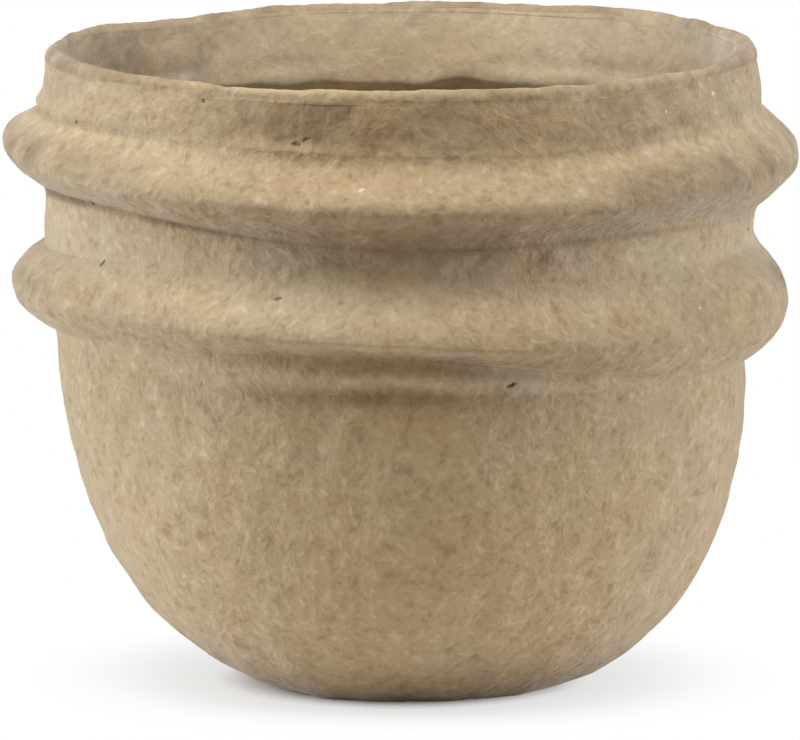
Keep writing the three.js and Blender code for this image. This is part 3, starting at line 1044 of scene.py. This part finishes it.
# Colours and strengths of the paper
WHITE = (1, 1, 1, 1)
PULP_DARK = (0.438, 0.327, 0.195, 1)
PULP_LIGHT = (0.462, 0.351, 0.214, 1)
STRAND_PALE = (0.64, 0.515, 0.345, 1)
STRAND_DARK = (0.29, 0.206, 0.108, 1)
PULP_WARM = (1.02, 0.99, 0.96, 1)
PULP_COOL = (0.985, 1.005, 1.015, 1)
# Painted light: the tint that makes the inside and some bands on the lower collar paler, standing for the
# light on them
PAINTED_LIGHT_TINT = (1.43, 1.55, 1.76, 1)
# Painted shade: the tint towards which the shade mark darkens the paper
PAINTED_SHADE_TINT = (0.42, 0.38, 0.34, 1)
# Painted shade: the dark in the small holes, deeper than the dimples of the mesh
HOLE_SHADOW_COLOUR = (0.1, 0.066, 0.036, 1)
PALE_FLECK = (0.78, 0.68, 0.5, 1)
DARK_FLECK = (0.19, 0.13, 0.075, 1)
PALE_FLECKS = {"Scale": 70.0, "Share": 0.05, "Size": 0.07}
DARK_FLECKS = {"Scale": 110.0, "Share": 0.06, "Size": 0.09}
FIBRE_SCALE = 150.0
INNER_CALM = 0.6
PALE_STRANDS = 0.54
DARK_STRANDS = 0.7
# Painted shade is uneven: its strength is scaled by the tone plus this
PAINTED_SHADE_FLOOR = 0.55
PALE_FLECK_STRENGTH = 0.6
PALE_BIT_STRENGTH = 0.85
DARK_FLECK_STRENGTH = 0.5
PULP_ROUGHNESS = (0.97, 0.88)
PULP_BUMP = (0.6, 0.0015)
BINDING_BUMP = (0.6, 0.0014)


def paper(name, bump):
    """Matted paper: patches of tone, strands, flecks, holes with painted shade, painted shade by the shade
    mark, and painted light by the inner mark, full on the paler, calmer inside.
    """
    material, tree, place = fresh_material(name)
    tone = placed_effect(tree, "pulp_tone", place)
    fibre = placed_effect(tree, "pulp_fibres", place, Scale=FIBRE_SCALE)
    pale = placed_effect(tree, "flecks", place, **PALE_FLECKS)["Mask"]
    grit = placed_effect(tree, "flecks", place, **DARK_FLECKS)["Mask"]
    hole = placed_effect(tree, "holes", place)["Mask"]
    bit = placed_effect(tree, "pale_bits", place)["Mask"]
    # Marks: inner is painted light, full on the inside; shade is painted shade
    inner = add(tree, "ShaderNodeAttribute", attribute_name="inner").outputs["Fac"]
    shade = add(tree, "ShaderNodeAttribute", attribute_name="shade").outputs["Fac"]
    calm = spread(tree, inner, 0.0, 1.0, 1.0, INNER_CALM)
    pale_strand = scaled(tree, scaled(tree, fibre["Pale"], calm), PALE_STRANDS)
    dark_strand = scaled(tree, scaled(tree, fibre["Dark"], calm), DARK_STRANDS)
    shade_unevenness = sums(tree, "ADD", tone["Tone"], PAINTED_SHADE_FLOOR)
    painted_shade = spread(tree, scaled(tree, shade, shade_unevenness), 0.0, 1.0)
    pale_bit = scaled(tree, bit, PALE_BIT_STRENGTH)
    light_bits = sums(tree, "MAXIMUM", scaled(tree, pale, PALE_FLECK_STRENGTH), pale_bit)
    colour = mixed(tree, tone["Tone"], PULP_DARK, PULP_LIGHT)
    colour = mixed(tree, pale_strand, colour, STRAND_PALE)
    colour = mixed(tree, dark_strand, colour, STRAND_DARK)
    colour = tinted(tree, colour, tone["Warmth"], PULP_COOL, PULP_WARM)
    # Painted light where the inner mark lies, then painted shade where the shade mark lies
    colour = tinted(tree, colour, inner, WHITE, PAINTED_LIGHT_TINT)
    colour = tinted(tree, colour, painted_shade, WHITE, PAINTED_SHADE_TINT)
    colour = mixed(tree, light_bits, colour, PALE_FLECK)
    colour = mixed(tree, scaled(tree, grit, DARK_FLECK_STRENGTH), colour, DARK_FLECK)
    # Painted shade in the small holes
    colour = mixed(tree, hole, colour, HOLE_SHADOW_COLOUR)
    roughness = spread(tree, fibre["Pale"], 0.0, 1.0, *PULP_ROUGHNESS)
    height = sums(tree, "SUBTRACT", scaled(tree, fibre["Height"], calm), hole)
    finished(tree, colour, roughness, height, bump, Specular_IOR_Level=0.2, Sheen_Weight=0.2)
    return material


# Colours and strengths of the liner
PLASTIC_DARK = (0.5, 0.46, 0.39, 1)
PLASTIC_LIGHT = (0.58, 0.54, 0.47, 1)
DUST_COLOUR = (0.3, 0.26, 0.2, 1)
DUST = {"Scale": 160.0, "Share": 0.06, "Size": 0.1}
DUST_STRENGTH = 0.25
PLASTIC_PATCHES = 30.0
PLASTIC_GRAIN = 1500.0
PLASTIC_ROUGHNESS = (0.42, 0.62)
PLASTIC_BUMP = (0.2, 0.0002)


def liner_plastic():
    """Milky moulded plastic: a faint grain, and dull patches where water has dried."""
    material, tree, place = fresh_material("liner_plastic")
    tone = placed_effect(tree, "pulp_tone", place, Scale=PLASTIC_PATCHES)
    dust = placed_effect(tree, "flecks", place, **DUST)["Mask"]
    grain = noise(tree, place, PLASTIC_GRAIN, detail=2.0)[0]
    colour = mixed(tree, tone["Tone"], PLASTIC_DARK, PLASTIC_LIGHT)
    colour = mixed(tree, scaled(tree, dust, DUST_STRENGTH), colour, DUST_COLOUR)
    roughness = spread(tree, tone["Warmth"], 0.0, 1.0, *PLASTIC_ROUGHNESS)
    finished(tree, colour, roughness, grain, PLASTIC_BUMP, Specular_IOR_Level=0.45)
    return material


# Stage, in metres: the floor's colours, and the distances from the axis over which it turns white or dull
FLOOR_NEAR = (0.8, 0.76, 0.71, 1)
FLOOR_FAR = (0.3, 0.298, 0.296, 1)
FLOOR_HALF = 14.0
FLOOR_LEVEL = -0.0002
FLOOR_WHITER = (0.056, 0.085, 0.0, 0.68)
FLOOR_WHITE = (0.075, 0.17, 0.0, 0.32)
FLOOR_DULLER = (0.25, 0.55)
CLEAR_RADIUS = 0.75 * FOOT_RADIUS * MM
WORLD_LIGHT = (0.24, 0.195, 0.15, 1)

# Lamps: name, place, width, height, watts, colour
COOL_LIGHT = (0.9, 1, 1.13)
LAMP_AIM = (0, 0, 0.15)
LAMPS = (
    ("key_softbox", (-0.12, -0.75, 1.71), 1.0, 0.8, 24.5, (1, 1, 1)),
    ("left_softbox", (-1.6, 0.0, 0.33), 0.8, 1.0, 26.5, COOL_LIGHT),
    ("right_softbox", (1.6, 0.0, 0.33), 0.8, 1.0, 22, COOL_LIGHT),
)

# Camera: its aim and distance in metres, its height over the level in degrees, its sensor and lens
CAMERA_AIM = (0, 0, 0.1367)
CAMERA_DISTANCE = 5.5
CAMERA_ELEVATION = 8.4
CAMERA_SENSOR = 36
CAMERA_LENS = 563.6


def seen_rays(tree):
    """1 for the rays by which the camera sees a surface, straight, mirrored or through glass."""
    path = add(tree, "ShaderNodeLightPath").outputs
    seen = sums(tree, "ADD", path["Is Camera Ray"], path["Is Glossy Ray"])
    return sums(tree, "ADD", seen, path["Is Transmission Ray"], clamp=True)


def floor_paint():
    """Pale paint of the floor. Near the pot it shows the shadow, and further off it is seen as plain white.

    For the light that it throws back, it is pale near the pot and duller further off. It is clear from below
    and under the middle of the foot, so that the underside can be seen.
    """
    material, tree, place = fresh_material("studio_floor")
    behind = add(tree, "ShaderNodeNewGeometry").outputs["Backfacing"]
    far = vectors(tree, "LENGTH", {0: place})["Value"]
    whiter = spread(tree, far, *FLOOR_WHITER)
    white = spread(tree, far, *FLOOR_WHITE)
    share = scaled(tree, sums(tree, "ADD", whiter, white), seen_rays(tree))
    colour = mixed(tree, spread(tree, far, *FLOOR_DULLER), FLOOR_NEAR, FLOOR_FAR)
    matte = add(tree, "ShaderNodeBsdfDiffuse", {"Color": colour}).outputs[0]
    glow = add(tree, "ShaderNodeEmission", {"Color": WHITE, "Strength": 1.0}).outputs[0]
    clear = add(tree, "ShaderNodeBsdfTransparent").outputs[0]
    lit = add(tree, "ShaderNodeMixShader", {0: share, 1: matte, 2: glow}).outputs[0]
    off_foot = vectors(tree, "DISTANCE", {0: place, 1: (LEAN * MM, 0, 0)})["Value"]
    see_through = sums(tree, "MAXIMUM", behind, sums(tree, "LESS_THAN", off_foot, CLEAR_RADIUS))
    surface = add(tree, "ShaderNodeMixShader", {0: see_through, 1: lit, 2: clear}).outputs[0]
    add(tree, "ShaderNodeOutputMaterial", {"Surface": surface})
    return material


def studio_floor():
    """A wide square floor, a hair below the foot."""
    mesh = bpy.data.meshes.new("studio_floor")
    signs = [(-1, -1), (1, -1), (1, 1), (-1, 1)]
    corners = [(x * FLOOR_HALF, y * FLOOR_HALF, FLOOR_LEVEL) for x, y in signs]
    mesh.from_pydata(corners, [], [(0, 1, 2, 3)])
    mesh.materials.append(floor_paint())
    floor = shown("studio_floor", mesh)


def studio_world():
    """White to the camera, and a dim warm light to everything else."""
    world = bpy.data.worlds.new("studio_world")
    world.use_nodes = True
    tree = world.node_tree
    tree.nodes.clear()
    colour = mixed(tree, seen_rays(tree), WORLD_LIGHT, WHITE)
    light = add(tree, "ShaderNodeBackground", {"Color": colour, "Strength": 1.0}).outputs[0]
    add(tree, "ShaderNodeOutputWorld", {"Surface": light})
    bpy.context.scene.world = world


def aim_at(thing, place, aim):
    """Puts a lamp or camera at a place and turns its -Z to its aim, with its Y up."""
    thing.location = place
    thing.rotation_euler = (Vector(aim) - Vector(place)).to_track_quat("-Z", "Y").to_euler()


def softbox(name, place, width, height, watts, colour):
    """A rectangular soft light, turned to the middle of the pot."""
    lamp = bpy.data.lights.new(name, "AREA")
    lamp.shape = "RECTANGLE"
    lamp.size = width
    lamp.size_y = height
    lamp.energy = watts
    lamp.color = colour
    aim_at(shown(name, lamp), place, LAMP_AIM)


def studio():
    """Floor, white surroundings, a soft light high in front and one low at each side."""
    studio_floor()
    studio_world()
    for lamp in LAMPS:
        softbox(*lamp)


def photo_camera():
    """A far camera a little above the rim, level across, aimed at the middle of the pot."""
    elevation = math.radians(CAMERA_ELEVATION)
    off = CAMERA_DISTANCE * math.cos(elevation)
    height = CAMERA_AIM[2] + CAMERA_DISTANCE * math.sin(elevation)
    lens = bpy.data.cameras.new("photo_camera")
    lens.sensor_width = CAMERA_SENSOR
    lens.lens = CAMERA_LENS
    camera = shown("photo_camera", lens)
    aim_at(camera, (0, -off, height), CAMERA_AIM)
    bpy.context.scene.camera = camera


def main():
    """Builds the pieces, the stage and the camera."""
    pulp = paper("pulp_paper", PULP_BUMP)
    strip = paper("binding_paper", BINDING_BUMP)
    bowl(pulp)
    lower_collar(pulp)
    upper_collar(pulp)
    rim_binding(strip)
    liner(liner_plastic())
    studio()
    photo_camera()
    bpy.context.scene.view_settings.view_transform = "Standard"


main()
